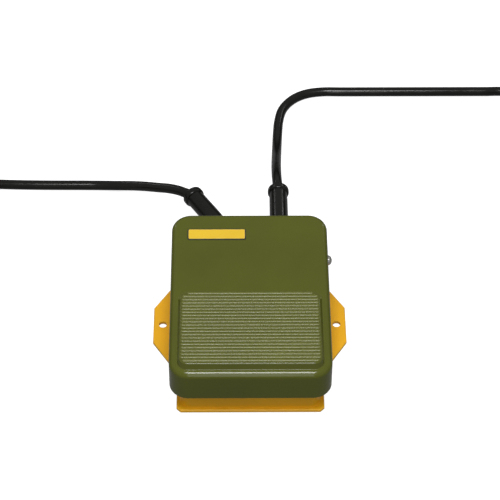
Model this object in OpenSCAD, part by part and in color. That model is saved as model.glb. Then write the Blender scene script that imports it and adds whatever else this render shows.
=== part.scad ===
// Foot switch: a ribbed pedal cover rocks on a cross pin over a base tray with two screw-down
// ears. A snap-action switch, a terminal block and two cord clamps sit in the tray.
// Origin: centre of the cover's outline, on the floor. +X right, +Y to the cords, +Z up. mm.

/* [Pedal cover] */
// Width of the cover
cover_w = 107; // [105:0.5:112]
// Length of the cover, front face to rear face
cover_l = 140; // [137:0.5:146]
// Height of the top at the rear face
cover_rear_z = 53; // [51.5:0.5:57]
// Height of the top at the front face
cover_front_z = 45.5; // [44.5:0.5:49]
// Height of the cover's lower edge
cover_edge_z = 21.5; // [20:0.5:23]
// Wall thickness of the cover
cover_wall = 2.5; // [2:0.1:2.8]
// Radius of the upright corners
cover_corner_r = 13; // [10:0.5:15]
// Radius of the rounded top edge
cover_edge_r = 2.5; // [1.5:0.1:3.2]

/* [Foot pad] */
// Width of the raised pad
pad_w = 97; // [88:0.5:98]
// Length of the raised pad
pad_l = 65.5; // [55:0.5:70]
// Distance from the cover's front face to the pad
pad_setback = 4; // [3.5:0.25:6]
// Rise of the pad's front edge above the cover
pad_rise = 4.5; // [3:0.25:6]
// Radius of the pad's corners
pad_corner_r = 3.5; // [2.5:0.25:5]
// Radius of the pad's top edge
pad_edge_r = 1.6; // [1:0.1:2]
// Distance from one rib to the next
rib_pitch = 2.9; // [2.5:0.1:4]
// Height of a rib
rib_h = 0.6; // [0.4:0.05:0.9]
// Smooth border around the ribs
rib_margin = 2.5; // [2:0.1:5]

/* [Base tray] */
// How far the base flange stays inside the cover's sides and ends
base_inset = 4.3; // [3.5:0.1:5]
// Distance from the flange's front edge back to the cover's front face
base_front_inset = 5.7; // [5:0.1:7]
// Thickness of the flange, ears and floor
base_t = 2.2; // [2:0.1:3]
// Width of the ledge outside the tray's wall
base_ledge = 2.3; // [1.5:0.1:2.6]
// Corner cut of the flange
base_cut = 2.8; // [1.5:0.1:4]
// Bevel on the upper edges of flange and ears
base_bevel = 0.6; // [0.3:0.1:0.8]
// Thickness of the tray's walls
tray_wall = 2.5; // [2:0.1:3]
// Height of the tray's walls
tray_z = 27; // [25.5:0.5:29]
// Corner radius of the tray's walls
tray_corner_r = 8; // [6:0.5:10]

/* [Ears and feet] */
// Distance between the two fixing holes
ear_pitch = 120; // [118:0.5:126]
// Diameter of the fixing holes
ear_hole_d = 5.5; // [4:0.1:6]
// Distance from a fixing hole to the ear's outer edge
ear_margin = 6.4; // [5:0.1:8]
// Length of an ear's outer edge
ear_outer_l = 32; // [26:0.5:40]
// Length of an ear at its root
ear_root_l = 88; // [76:1:96]
// Distance of the fixing holes behind the origin
ear_y = 13.5; // [8:0.5:18]
// Diameter of the rubber feet
foot_d = 12; // [10:0.5:14]
// Height that the rubber feet hold the base off the floor
foot_h = 1; // [0.8:0.1:1.5]
// Depth of the foot recesses
foot_seat = 0.8; // [0.5:0.1:1]

/* [Hinge] */
// Diameter of the hinge pin
pin_d = 4; // [3:0.1:5]
// Distance from the cover's rear face to the hinge pin
pin_inset = 26; // [24:0.5:28]
// Height of the hinge pin
pin_z = 35; // [34.5:0.5:36]
// Diameter of the pin's domed head
pin_head_d = 7; // [6:0.25:9]
// Height of the pin's domed head
pin_head_h = 3.4; // [2:0.1:4]
// Thickness of the hinge lugs
lug_t = 4; // [3:0.1:5]
// Angle through which the pedal travels
travel = 4; // [3:0.25:4.5]

/* [Snap switch] */
// Length of the switch case
case_l = 27.8; // [26:0.1:30]
// Width of the switch case, lid included
case_w = 10.3; // [9:0.1:11]
// Height of the switch case
case_h = 15.9; // [14:0.1:17]
// Height of the lever's hinge
lever_z = 27; // [26.5:0.25:28]
// Gap between the rear blade and the terminal block
blade_gap = 4.3; // [3:0.1:6]
// Length of the lever from its hinge to the pedal's post
lever_l = 34; // [30:0.5:36]
// Thickness of the lever
lever_t = 0.6; // [0.4:0.1:0.8]
// Width of the lever
lever_w = 4.2; // [3.5:0.1:5]
// Angle of the free lever above level
lever_tilt = 7; // [6:0.25:8]
// Distance of the button from the lever's hinge
button_arm = 9; // [8:0.25:10]
// Diameter of the button
button_d = 3; // [2.6:0.1:3.4]

/* [Springs and stops] */
// Outer diameter of the return springs
spring_d = 9.6; // [8.8:0.1:11]
// Wire diameter of the return springs
spring_wire = 1.1; // [0.8:0.1:1.2]
// Turns of a return spring
spring_turns = 6; // [4:1:7]
// Height of the springs' lower seats
spring_seat_z = 17; // [15:0.5:19]
// Height of the springs' upper seats
spring_top_z = 35; // [34:0.5:36]
// Distance of the springs from the middle
spring_x = 30; // [27:0.5:34]
// Distance from the tray's front face to the springs
spring_inset = 17.5; // [16.5:0.5:20]
// Diameter of the rubber buffers
buffer_d = 11; // [9:0.5:12]
// Height of the buffers' tops
buffer_z = 19; // [17:0.5:20]
// Distance of the buffers from the middle
buffer_x = 14; // [11:0.5:16]
// Distance from the tray's front face to the buffers
buffer_inset = 10; // [9:0.5:12]

/* [Cord entries] */
// Diameter of the cords
cord_d = 6.8; // [6:0.1:7.4]
// Outer diameter of the cord boots
boot_d = 12.7; // [11.5:0.1:13.5]
// Diameter of the boots' end rings
boot_ring_d = 14.7; // [14:0.1:16]
// Length of the boots' end rings
boot_ring_l = 5; // [3:0.25:7]
// Length of the boots behind the cover
boot_l = 60; // [55:0.5:66]
// Straight stretch of the bent boot behind the cover
boot_lead = 11; // [8:0.5:15]
// Angle of the bent boot
boot_bend = 45; // [40:1:50]
// Distance of the cord entries from the middle
entry_x = 21.5; // [20:0.25:23]
// Height of the cord entries
entry_z = 22; // [21.5:0.25:22.5]
// Distance from the tray's rear face to the cord clamps
clamp_inset = 11.4; // [10:0.2:12]
// Diameter of the wires inside
wire_d = 2.2; // [1.6:0.1:2.4]

/* [Fits] */
// Radial clearance of the hinge pin in the lugs
run_gap = 0.06; // [0.03:0.01:0.1]
// Radial clearance of parts that are fixed in their seats
fit_gap = 0.05; // [0.02:0.01:0.1]
// Gap between the parts of the switch linkage
link_gap = 0.2; // [0.1:0.05:0.3]
// Gap at the pedal's stops
stop_gap = 0.15; // [0.1:0.05:0.3]

/* [Plug and socket] */
// Diameter of the plug
plug_d = 38; // [36:0.5:39]
// Length of the plug's body
plug_l = 44; // [40:0.5:50]
// Diameter of the plug's pins
plug_pin_d = 4.8; // [4:0.1:4.8]
// Length of the plug's pins
plug_pin_l = 19; // [17:0.5:19]
// Distance between the plug's pins, and between the socket's holes
pin_pitch = 19; // [18:0.5:20]
// Diameter of the socket
socket_d = 46; // [45:0.5:48]
// Length of the socket
socket_l = 50; // [46:0.5:54]
// Diameter of the socket's recess
recess_d = 39; // [38:0.5:40]
// Depth of the socket's recess
recess_depth = 17.5; // [16:0.5:19]

/* [Hidden] */
$fn = 48;
eps = 0.01;
far = 80;                       // longer than any cut needs to be

green = "#5c602c";
yellow = "#dcae2c";
black = "#20201a";
steel = "#b8b8b4";
brass = "#c8a850";

// Cover
slope = atan((cover_rear_z - cover_front_z) / cover_l);
cover_front_y = -cover_l / 2;
cover_rear_y = cover_l / 2;
cover_in_x = cover_w / 2 - cover_wall;
function top_z(y) = cover_front_z + (y - cover_front_y) * tan(slope);
function ceiling_z(y) = top_z(y) - cover_wall / cos(slope);

// Pad
pad_front_y = cover_front_y + pad_setback;
pad_rear_y = pad_front_y + pad_l;
pad_front_z = top_z(pad_front_y) + pad_rise;
pad_slope = atan((top_z(pad_rear_y) - pad_front_z) / pad_l);
pad_sink = 1.2;                 // how deep the pad's foot lies in the cover's top
rib_count = floor((pad_l - pad_edge_r - rib_margin) / rib_pitch);
rib_len = pad_w - 2 * rib_margin;

// Base
base_top_z = foot_h + base_t;
base_x = cover_w / 2 - base_inset;
base_front_y = cover_front_y + base_front_inset;
base_rear_y = cover_rear_y - base_inset;
tray_x = base_x - base_ledge;
tray_front_y = base_front_y + base_ledge;
tray_rear_y = base_rear_y - base_ledge;
ear_x = ear_pitch / 2 + ear_margin;
foot_inset_x = 9;                // from the tray's sides and ends to the feet
foot_inset_y = 10;
foot_x = tray_x - foot_inset_x;
foot_ys = [tray_front_y + foot_inset_y, tray_rear_y - foot_inset_y];

// Hinge
pin_y = cover_rear_y - pin_inset;
lug_in_x = tray_x - lug_t;
lug_r = pin_d / 2 + 4.5;
boss_r = pin_d / 2 + 4;
boss_in_x = tray_x + 0.5;
clip_t = 0.8;
clip_gap = 0.3;
pin_grip = 0.02;                // radial clearance of the pin in the cover

// Clamps
clamp_y = tray_rear_y - clamp_inset;
clamp_l = 8;
clamp_w = 24;
clamp_screw_x = 8.5;
clamp_squeeze = 0.8;            // open gap between saddle and bar
bar_t = 4.6;
clamp_screw_d = 2.9;
clamp_head_d = 5.6;
clamp_head_h = 2;
clamp_screw_l = 12;
tail_y = clamp_y - 12;          // where the cords' sheaths end inside

// Terminal block
pole_pitch = 9.4;
insert_r = 2.7;
insert_bore_r = 1.6;
insert_l = 14;
block_l = 18;
block_w = pole_pitch + 2 * insert_r + 3;
block_gap = 8.6;                // between the block and the clamps
block_y = clamp_y - clamp_l / 2 - block_gap - block_w / 2;
block_h = 13;
turret_h = 4;
block_z = base_top_z + 2;
pole_z = block_z + 5.8;
pole_ys = [block_y - pole_pitch / 2, block_y + pole_pitch / 2];
grub_r = 1.25;
grub_x = 4.2;
wire_r = wire_d / 2;
core_dx = wire_r * 1.25;        // places of the three cores in a sheath
core_dz = wire_r * 1.45;

// Switch
blade_l = 6.5;
case_top_z = lever_z - 1.6;
case_bottom_z = case_top_z - case_h;
case_rear_y = block_y - block_w / 2 - blade_gap - blade_l;
case_front_y = case_rear_y - case_l;
lever_y = case_rear_y - 0.8;
lid_t = 1.5;
post_r = 2;
post_w = 8;
post_y = lever_y - lever_l;
lever_top_at_post = lever_z + lever_l * tan(lever_tilt) + lever_t / 2 / cos(lever_tilt);
post_z = lever_top_at_post + post_r * (1 / cos(lever_tilt) - 1) + link_gap;
button_y = lever_y - button_arm;
button_r = button_d / 2;
lever_under = lever_z + button_arm * tan(lever_tilt) - lever_t / 2 / cos(lever_tilt);
button_z = lever_under + button_r - (button_r + link_gap) / cos(lever_tilt);
button_l = 6;
knuckle_r = 0.9;
trunnion_r = 0.6;
trunnion_l = 1;
hinge_ear_r = 1.3;
case_screw_d = 2.9;
case_screw_ys = [case_front_y + 2.8, case_front_y + 25];
case_screw_zs = [case_bottom_z + 12.9, case_bottom_z + 2.9];
mount_t = 3;                    // upright wall beside the switch
mount_x = case_w / 2 + fit_gap;
blade_w = 6.3;
blade_t = 0.8;
blade_z = case_bottom_z + 4.2;
blade_rise = 7.6;               // spacing of the two front blades

// Springs and stops
spring_y = tray_front_y + spring_inset;
buffer_y = tray_front_y + buffer_inset;
spigot_r = spring_d / 2 - spring_wire - 0.4;
spigot_h = 4;
spring_boss_r = spring_d / 2 + 1;
buffer_t = 4;
stem_d = 4;
stop_post_r = 4;
stop_post_z = buffer_z + (pin_y - buffer_y + stop_post_r) * sin(travel) + stop_gap;
rest_post_r = 3.2;
rest_x = tray_x - tray_wall - rest_post_r - 2.5;
rest_y = tray_rear_y - tray_wall - rest_post_r - 0.5;
rest_z = pin_z + 3;

// Cord entries
cord_r = cord_d / 2;
notch_gap = 1.2;
groove_r = boot_d / 2 - 0.4;
boot_flange_r = groove_r + 1.6;
boot_flange_t = 1.8;
bend_r = (boot_l - boot_lead) / (boot_bend * PI / 180);
bend_y = cover_rear_y + boot_lead;
boot_end_y = cover_rear_y + boot_l;
boot_dir = [-sin(boot_bend), cos(boot_bend), 0];
boot_tip = [-entry_x - bend_r * (1 - cos(boot_bend)), bend_y + bend_r * sin(boot_bend), entry_z];
ring_bend = boot_ring_l / bend_r * 180 / PI;

// Cords: hand-laid routes from the boots, and where their ends lie
plug_y = 71;
plug_z = plug_d / 2;
mains_x = -280;
coil_at = [-242, 109.2];
coil_mid_r = 38;
coil_layers = 3;
mains_route = [boot_tip, [-48, 130.5, 21.5], [-56, 136, 19.2], [-65, 141, 15.8], [-75, 146, 11.6],
    [-86, 150, 7.6], [-98, 153, 4.6], [-111, 154.5, 3.4], [-126, 155, 3.4], [-141, 155, 3.4],
    [-156, 154.5, 3.4], [-171, 154, 3.4], [-186, 154, 3.4], [-201, 154, 3.4], [-216, 154, 3.4],
    [-232, 154, 3.4], [-242, 154, 3.4]];
mains_end = [[-280, 109.2, 17], [-280, 97, 17.2], [-280, 84, 18.2], [-280, 71, 19]];
socket_y = 141;
socket_x = 229;
socket_z = socket_d / 2;
tool_route = [[entry_x, boot_end_y, entry_z], [21.5, 143, 21], [21.5, 157, 17], [21.5, 171, 12],
    [21.5, 185, 7.2], [21.5, 199, 4.2], [22, 213, 3.4], [24, 227, 3.4], [28.5, 240, 3.4],
    [36, 251, 3.4], [46.5, 259, 3.4], [59, 262, 3.4], [74, 262.5, 3.4], [90, 262.5, 3.4],
    [106, 262, 3.4], [122, 262, 3.4], [138, 262, 3.4], [154, 262, 3.4], [170, 262, 3.4],
    [186, 262, 3.4], [200, 261.5, 3.4], [212, 257, 3.4], [221.5, 248.5, 3.4], [227.5, 237, 3.4],
    [229, 224, 3.4], [229, 210, 4.4], [229, 196, 8], [229, 181, 13.5], [229, 166, 19],
    [229, 153, 22.2], [229, 141, 23]];

// ---- shared shapes ----

// Disc with a rounded upper edge, its top face at z = 0
module rounded_disc(r, edge, depth) {
    rotate_extrude()
        polygon(concat([[0, -depth], [r, -depth]],
            [for (a = [0:15:90]) [r - edge + edge * cos(a), -edge + edge * sin(a)]], [[0, 0]]));
}

// Box between two corners
module block(low, high) {
    translate(low) cube(high - low);
}

// Round bar along X from x0 to x1
module bar_x(r, x0, x1, y, z) {
    translate([x0, y, z]) rotate([0, 90, 0]) cylinder(r = r, h = x1 - x0);
}

// Round bar along Y from y0 to y1
module bar_y(r, y0, y1, x, z) {
    translate([x, y0, z]) rotate([-90, 0, 0]) cylinder(r = r, h = y1 - y0);
}

// Upright box with rounded corners, centred on X
module rounded_box(x, y0, y1, r, h) {
    linear_extrude(h) {
        translate([-x + r, y0]) square([2 * (x - r), y1 - y0]);
        translate([-x, y0 + r]) square([2 * x, y1 - y0 - 2 * r]);
        for (sx = [-1, 1], y = [y0 + r, y1 - r]) translate([sx * (x - r), y]) circle(r);
    }
}

// Bevelled plate from a convex outline, its lower face at z = 0
module plate(outline) {
    hull() {
        linear_extrude(base_t - base_bevel) polygon(outline);
        linear_extrude(base_t) offset(delta = -base_bevel) polygon(outline);
    }
}

function unit(v) = v / norm(v);

// Tube along a path; its end faces stand square to the directions given, and no stretch of it
// runs along the aside direction, which its rings are laid out from
module tube(path, r, sides, from, to, aside = [0, 0, 1]) {
    last = len(path) - 1;
    along = [for (i = [0:last]) i == 0 ? unit(from) : i == last ? unit(to)
        : unit(path[i + 1] - path[i - 1])];
    rings = [for (i = [0:last]) let (u = unit(cross(along[i], aside)), v = cross(u, along[i]))
        for (k = [0:sides - 1]) path[i] + r * (cos(360 * k / sides) * v + sin(360 * k / sides) * u)];
    walls = [for (i = [0:last - 1], k = [0:sides - 1]) let (a = i * sides + k,
        b = i * sides + (k + 1) % sides) each [[a, b, b + sides], [a, b + sides, a + sides]]];
    polyhedron(rings, concat([[for (k = [sides - 1:-1:0]) k]], walls,
        [[for (k = [0:sides - 1]) last * sides + k]]), convexity = 6);
}

// Pan-head screw along -Z with its head's underside at z = 0
module pan_screw(d, l, head_d, head_h) {
    translate([0, 0, -l]) cylinder(d = d, h = l + eps);
    difference() {
        rotate_extrude() polygon(concat([[0, 0], [head_d / 2, 0], [head_d / 2, head_h * 0.45]],
            [for (a = [15:15:90]) [head_d / 2 * cos(a), head_h * (0.45 + 0.55 * sin(a))]]));
        for (turn = [0, 90]) rotate(turn) translate([0, 0, head_h]) cube([head_d * 0.55, 0.8, 1.6], center = true);
    }
}

// ---- pedal ----

// Cover form, drawn in from its outer faces by the given wall
module cover_form(wall, low) {
    r = cover_corner_r - wall;
    edge = max(cover_edge_r - wall, 0.4);
    hull() {
        for (sx = [-1, 1], sy = [-1, 1]) {
            y = sy * (cover_l / 2 - cover_corner_r);
            translate([sx * (cover_w / 2 - cover_corner_r), y, 0]) {
                translate([0, -edge * sin(slope), top_z(y) - wall / cos(slope)]) rotate([slope, 0, 0])
                    rounded_disc(r, edge, edge + eps);
                translate([0, 0, low]) cylinder(r = r, h = 1);
            }
        }
    }
}

// Pad form, drawn in by the given wall, standing in the cover's top
module pad_form(wall) {
    x = pad_w / 2 - pad_corner_r;
    r = pad_corner_r - min(wall, pad_corner_r - 1);
    hull() {
        for (sx = [-1, 1], y = [pad_front_y + pad_corner_r, pad_rear_y - pad_corner_r]) {
            translate([sx * (x - max(wall - pad_corner_r + 1, 0)), y, 0]) {
                translate([0, 0, pad_front_z + (y - pad_front_y) * tan(pad_slope) - wall]) rotate([pad_slope, 0, 0])
                    rounded_disc(r, min(pad_edge_r, r - 0.2), pad_edge_r + 0.2);
                translate([0, 0, top_z(y) - pad_sink - wall]) rotate([slope, 0, 0]) cylinder(r = r, h = 0.2);
            }
        }
    }
}

// One sheet with a row of round-topped ribs across the pad
module pad_ribs() {
    r = rib_pitch * 0.36;
    start = pad_edge_r + rib_pitch / 2;
    crest = [for (i = [0:rib_count - 1], a = [180:-36:0])
        [start + i * rib_pitch + r * cos(a), rib_h * sin(a)]];
    translate([-rib_len / 2, pad_front_y, pad_front_z]) rotate([pad_slope, 0, 0])
        rotate([90, 0, 90]) linear_extrude(rib_len)
            polygon(concat([[start - r, -0.4]], crest, [[start + (rib_count - 1) * rib_pitch + r, -0.4]]));
}

// What hangs from the underside of the cover's top
module cover_posts() {
    for (sx = [-1, 1]) {
        // pin bosses
        bar_x(boss_r, min(sx * boss_in_x, sx * far), max(sx * boss_in_x, sx * far), pin_y, pin_z);
        // spring bosses and spigots
        translate([sx * spring_x, spring_y, spring_top_z]) {
            cylinder(r = spring_boss_r, h = far);
            translate([0, 0, -spigot_h + 1]) cylinder(r = spigot_r, h = spigot_h);
        }
        // stop posts over the rubber buffers
        translate([sx * buffer_x, buffer_y, stop_post_z]) cylinder(r = stop_post_r, h = far);
        // rest stops
        translate([sx * rest_x, rest_y, rest_z + stop_gap]) cylinder(r = rest_post_r, h = far);
        // stiffening ribs
        translate([sx * entry_x, 0, ceiling_z(0) - 3]) rotate([slope, 0, 0])
            translate([-0.8, -cover_l / 2, 0]) cube([1.6, cover_l, far]);
    }
    // post over the switch lever
    block([-post_w / 2, post_y - post_r, post_z + post_r], [post_w / 2, post_y + post_r, far]);
    bar_x(post_r, -post_w / 2, post_w / 2, post_y, post_z + post_r);
}

module pedal_cover() {
    color(green) difference() {
        union() {
            cover_form(0, cover_edge_z);
            pad_form(0);
            pad_ribs();
        }
        difference() {
            cover_form(cover_wall, cover_edge_z - 2);
            cover_posts();
        }
        // bore for the hinge pin
        bar_x(pin_d / 2 + pin_grip, -far, far, pin_y, pin_z);
        // notches for the cord boots, open below
        for (sx = [-1, 1]) {
            bar_y(boot_d / 2 + notch_gap, tray_rear_y, far, sx * entry_x, entry_z);
            block([sx * entry_x - boot_d / 2 - notch_gap, tray_rear_y, cover_edge_z - 1],
                [sx * entry_x + boot_d / 2 + notch_gap, far, entry_z]);
        }
    }
}

module hinge_pin() {
    color(steel) {
        bar_x(pin_d / 2, -cover_w / 2 + 0.5, cover_w / 2 + eps, pin_y, pin_z);
        translate([cover_w / 2, pin_y, pin_z]) rotate([0, 90, 0]) rotate_extrude()
            polygon(concat([[0, 0], [pin_head_d / 2, 0], [pin_head_d / 2, pin_head_h * 0.25]],
                [for (a = [10:10:90]) [pin_head_d / 2 * cos(a), pin_head_h * (0.25 + 0.75 * sin(a))]]));
    }
}

// Retaining ring on the pin, against the inner face of the right-hand lug
module pin_clip() {
    color(steel) translate([lug_in_x - clip_gap - clip_t, pin_y, pin_z]) rotate([0, 90, 0])
        difference() {
            cylinder(r = pin_d / 2 + 1.8, h = clip_t);
            translate([0, 0, -eps]) cylinder(r = pin_d / 2 + pin_grip, h = clip_t + 2 * eps);
            translate([0, -pin_d * 0.35, -eps]) cube([pin_d, pin_d * 0.7, clip_t + 2 * eps]);
        }
}

// ---- base ----

module flange() {
    translate([0, 0, foot_h]) {
        plate([[-base_x + base_cut, base_front_y], [base_x - base_cut, base_front_y],
            [base_x, base_front_y + base_cut], [base_x, base_rear_y - base_cut],
            [base_x - base_cut, base_rear_y], [-base_x + base_cut, base_rear_y],
            [-base_x, base_rear_y - base_cut], [-base_x, base_front_y + base_cut]]);
        for (side = [0, 1]) mirror([side, 0, 0]) plate([[tray_x - tray_wall, ear_y - ear_root_l / 2 - 4],
            [base_x, ear_y - ear_root_l / 2], [ear_x, ear_y - ear_outer_l / 2],
            [ear_x, ear_y + ear_outer_l / 2], [base_x, ear_y + ear_root_l / 2],
            [tray_x - tray_wall, ear_y + ear_root_l / 2 + 4]]);
    }
}

module tray_walls() {
    translate([0, 0, foot_h]) difference() {
        rounded_box(tray_x, tray_front_y, tray_rear_y, tray_corner_r, tray_z - foot_h);
        translate([0, 0, base_t]) rounded_box(tray_x - tray_wall, tray_front_y + tray_wall,
            tray_rear_y - tray_wall, tray_corner_r - tray_wall, far);
    }
}

// Seats, posts and bosses that stand on the tray's floor
module tray_inside() {
    floor_z = base_top_z - eps;
    for (sx = [-1, 1]) {
        // hinge lugs
        bar_x(lug_r, sx > 0 ? lug_in_x : -tray_x, sx > 0 ? tray_x : -lug_in_x, pin_y, pin_z);
        block([sx > 0 ? lug_in_x : -tray_x, pin_y - lug_r, floor_z],
            [sx > 0 ? tray_x : -lug_in_x, pin_y + lug_r, pin_z]);
        // spring seats
        translate([sx * spring_x, spring_y, floor_z]) {
            cylinder(r = spring_boss_r, h = spring_seat_z - floor_z);
            cylinder(r = spigot_r, h = spring_seat_z + spigot_h - floor_z);
        }
        // buffer seats
        translate([sx * buffer_x, buffer_y, floor_z])
            cylinder(d = buffer_d, h = buffer_z - buffer_t - floor_z);
        // rest stops
        translate([sx * rest_x, rest_y, floor_z]) cylinder(r = rest_post_r, h = rest_z - floor_z);
        // clamp saddles
        block([sx * entry_x - clamp_w / 2, clamp_y - clamp_l / 2, floor_z],
            [sx * entry_x + clamp_w / 2, clamp_y + clamp_l / 2, entry_z - clamp_squeeze / 2]);
    }
    // upright wall that carries the snap switch
    block([mount_x, case_front_y + 0.5, floor_z], [mount_x + mount_t, case_rear_y - 0.5, case_top_z - 1]);
    // seat of the terminal block
    block([-block_l / 2, block_y - block_w / 2, floor_z], [block_l / 2, block_y + block_w / 2, block_z]);
}

module base_tray() {
    color(yellow) difference() {
        union() {
            flange();
            tray_walls();
            tray_inside();
        }
        for (sx = [-1, 1]) {
            translate([sx * ear_pitch / 2, ear_y, 0]) cylinder(d = ear_hole_d, h = far);
            // bores of the hinge lugs
            bar_x(pin_d / 2 + run_gap, sx > 0 ? lug_in_x - 1 : -tray_x - 1, sx > 0 ? tray_x + 1 : -lug_in_x + 1,
                pin_y, pin_z);
            // slots that hold the boots, open above
            bar_y(groove_r + fit_gap, tray_rear_y - tray_wall - 1, tray_rear_y + 1, sx * entry_x, entry_z);
            block([sx * entry_x - groove_r - fit_gap, tray_rear_y - tray_wall - 1, entry_z],
                [sx * entry_x + groove_r + fit_gap, tray_rear_y + 1, far]);
            // groove for the cord, and the clamp's screw holes
            bar_y(cord_r + fit_gap, clamp_y - clamp_l, clamp_y + clamp_l, sx * entry_x, entry_z);
            for (side = [-1, 1]) translate([sx * entry_x + side * clamp_screw_x, clamp_y, entry_z - clamp_screw_l])
                cylinder(d = clamp_screw_d + 2 * fit_gap, h = clamp_screw_l);
            // holes for the buffers' stems
            translate([sx * buffer_x, buffer_y, buffer_z - buffer_t - 8]) cylinder(d = stem_d + 2 * fit_gap, h = 9);
            // foot recesses
            for (y = foot_ys) translate([sx * foot_x, y, 0])
                cylinder(d = foot_d + 2 * fit_gap, h = foot_h + foot_seat);
        }
        // holes for the switch's screws
        for (i = [0, 1]) bar_x(case_screw_d / 2 + fit_gap, mount_x - 1, mount_x + mount_t + 1,
            case_screw_ys[i], case_screw_zs[i]);
        translate([0, block_y, foot_h + 0.8]) cylinder(d = case_screw_d + 2 * fit_gap, h = far);
    }
}

module rubber_feet() {
    color(black) for (sx = [-1, 1], y = foot_ys)
        translate([sx * foot_x, y, foot_h + foot_seat]) rotate([180, 0, 0]) rounded_foot();
}

module rounded_foot() {
    h = foot_h + foot_seat;
    rotate_extrude() polygon([[0, 0], [foot_d / 2, 0], [foot_d / 2, h - 0.5], [foot_d / 2 - 0.5, h], [0, h]]);
}

module stop_buffers() {
    color(black) for (sx = [-1, 1]) translate([sx * buffer_x, buffer_y, buffer_z - buffer_t]) {
        rotate_extrude() polygon([[0, 0], [buffer_d / 2, 0], [buffer_d / 2, buffer_t - 1],
            [buffer_d / 2 - 1, buffer_t], [0, buffer_t]]);
        translate([0, 0, -7]) cylinder(d = stem_d, h = 7 + eps);
    }
}

// Helical spring between the tray's seat and the cover's boss, with a closed turn at each end
module return_spring(x) {
    steps = 12;
    r = (spring_d - spring_wire) / 2;
    low = spring_seat_z + spring_wire / 2 + fit_gap;
    closed = spring_wire + fit_gap;
    open = (spring_top_z - spring_seat_z - spring_wire - 2 * fit_gap - 2 * closed) / (spring_turns - 2);
    path = [for (i = [0:spring_turns * steps]) let (turn = i / steps)
        [x + r * cos(360 * turn), spring_y + r * sin(360 * turn),
            low + closed * (min(turn, 1) + max(turn - spring_turns + 1, 0))
            + open * min(max(turn - 1, 0), spring_turns - 2)]];
    color(steel) tube(path, spring_wire / 2, 6, [0, 1, 0], [sin(-360 * spring_turns), cos(-360 * spring_turns), 0]);
}

module return_spring_left() { return_spring(-spring_x); }
module return_spring_right() { return_spring(spring_x); }

// ---- snap switch ----

module switch_holes() {
    for (i = [0, 1]) bar_x(case_screw_d / 2 + fit_gap, -far, far, case_screw_ys[i], case_screw_zs[i]);
}

module switch_case() {
    color("#34322e") difference() {
        union() {
            block([-case_w / 2 + lid_t, case_front_y, case_bottom_z], [case_w / 2, case_rear_y, case_top_z]);
            // ears of the lever's hinge
            for (sx = [-1, 1]) {
                x = sx * (lever_w / 2 + 0.1 + trunnion_l / 2);
                bar_x(hinge_ear_r, x - trunnion_l / 2, x + trunnion_l / 2, lever_y, lever_z);
                block([x - trunnion_l / 2, lever_y - hinge_ear_r, case_top_z - eps],
                    [x + trunnion_l / 2, case_rear_y, lever_z]);
            }
        }
        switch_holes();
        bar_x(trunnion_r + run_gap, -lever_w, lever_w, lever_y, lever_z);
        translate([0, button_y, case_top_z - button_l]) cylinder(r = button_r + run_gap, h = far);
    }
}

module switch_lid() {
    color("#4a4640") difference() {
        block([-case_w / 2, case_front_y, case_bottom_z], [-case_w / 2 + lid_t, case_rear_y, case_top_z]);
        switch_holes();
    }
}

module switch_lever() {
    color(steel) translate([0, lever_y, lever_z]) {
        bar_x(knuckle_r, -lever_w / 2, lever_w / 2, 0, 0);
        bar_x(trunnion_r, -lever_w / 2 - trunnion_l, lever_w / 2 + trunnion_l, 0, 0);
        rotate([-lever_tilt, 0, 0]) block([-lever_w / 2, -lever_l - 4, -lever_t / 2], [lever_w / 2, 0, lever_t / 2]);
    }
}

module switch_button() {
    color("#8a2a1c") translate([0, button_y, button_z]) rotate_extrude()
        polygon(concat([[0, case_top_z - button_z - button_l + 2], [button_r, case_top_z - button_z - button_l + 2]],
            [for (a = [0:15:90]) [button_r * cos(a), button_r * (sin(a) - 1)]]));
}

module switch_blades() {
    color(brass) {
        block([-blade_t / 2, case_rear_y, blade_z - blade_w / 2], [blade_t / 2, case_rear_y + blade_l, blade_z + blade_w / 2]);
        for (z = [blade_z, blade_z + blade_rise])
            block([-blade_t / 2, case_front_y - blade_l, z - blade_w / 2], [blade_t / 2, case_front_y, z + blade_w / 2]);
    }
}

module switch_screws() {
    color(steel) for (i = [0, 1]) translate([-case_w / 2, case_screw_ys[i], case_screw_zs[i]])
        rotate([0, -90, 0]) pan_screw(case_screw_d, case_w + fit_gap + mount_t - 0.2, 5.4, 1.9);
}

// ---- terminals and wires ----

module terminal_block() {
    color("#e4e0d0") difference() {
        union() {
            block([-block_l / 2, block_y - block_w / 2, block_z], [block_l / 2, block_y + block_w / 2, block_z + block_h - turret_h]);
            for (y = pole_ys, sx = [-1, 1]) translate([sx * grub_x, y, block_z]) cylinder(r = 3.4, h = block_h);
        }
        for (y = pole_ys) {
            bar_x(insert_r + fit_gap, -far, far, y, pole_z);
            for (sx = [-1, 1]) translate([sx * grub_x, y, pole_z]) cylinder(r = grub_r + 0.35, h = far);
        }
        translate([0, block_y, block_z - 1]) cylinder(d = case_screw_d + 2 * fit_gap, h = far);
    }
}

module terminal_inserts() {
    color(brass) for (y = pole_ys) difference() {
        bar_x(insert_r, -insert_l / 2, insert_l / 2, y, pole_z);
        bar_x(insert_bore_r, -insert_l, insert_l, y, pole_z);
        for (sx = [-1, 1]) translate([sx * grub_x, y, pole_z]) cylinder(r = grub_r + fit_gap, h = far);
    }
}

module terminal_screws() {
    color(steel) for (y = pole_ys, sx = [-1, 1]) translate([sx * grub_x, y, pole_z + wire_r + 0.1])
        difference() {
            cylinder(r = grub_r, h = 5);
            translate([-grub_r, -0.25, 4.2]) cube([2 * grub_r, 0.5, 1]);
        }
}

module block_screw() {
    color(steel) translate([0, block_y, block_z + block_h - turret_h])
        pan_screw(case_screw_d, block_z + block_h - turret_h - foot_h - 1, 5.4, 1.9);
}

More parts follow.
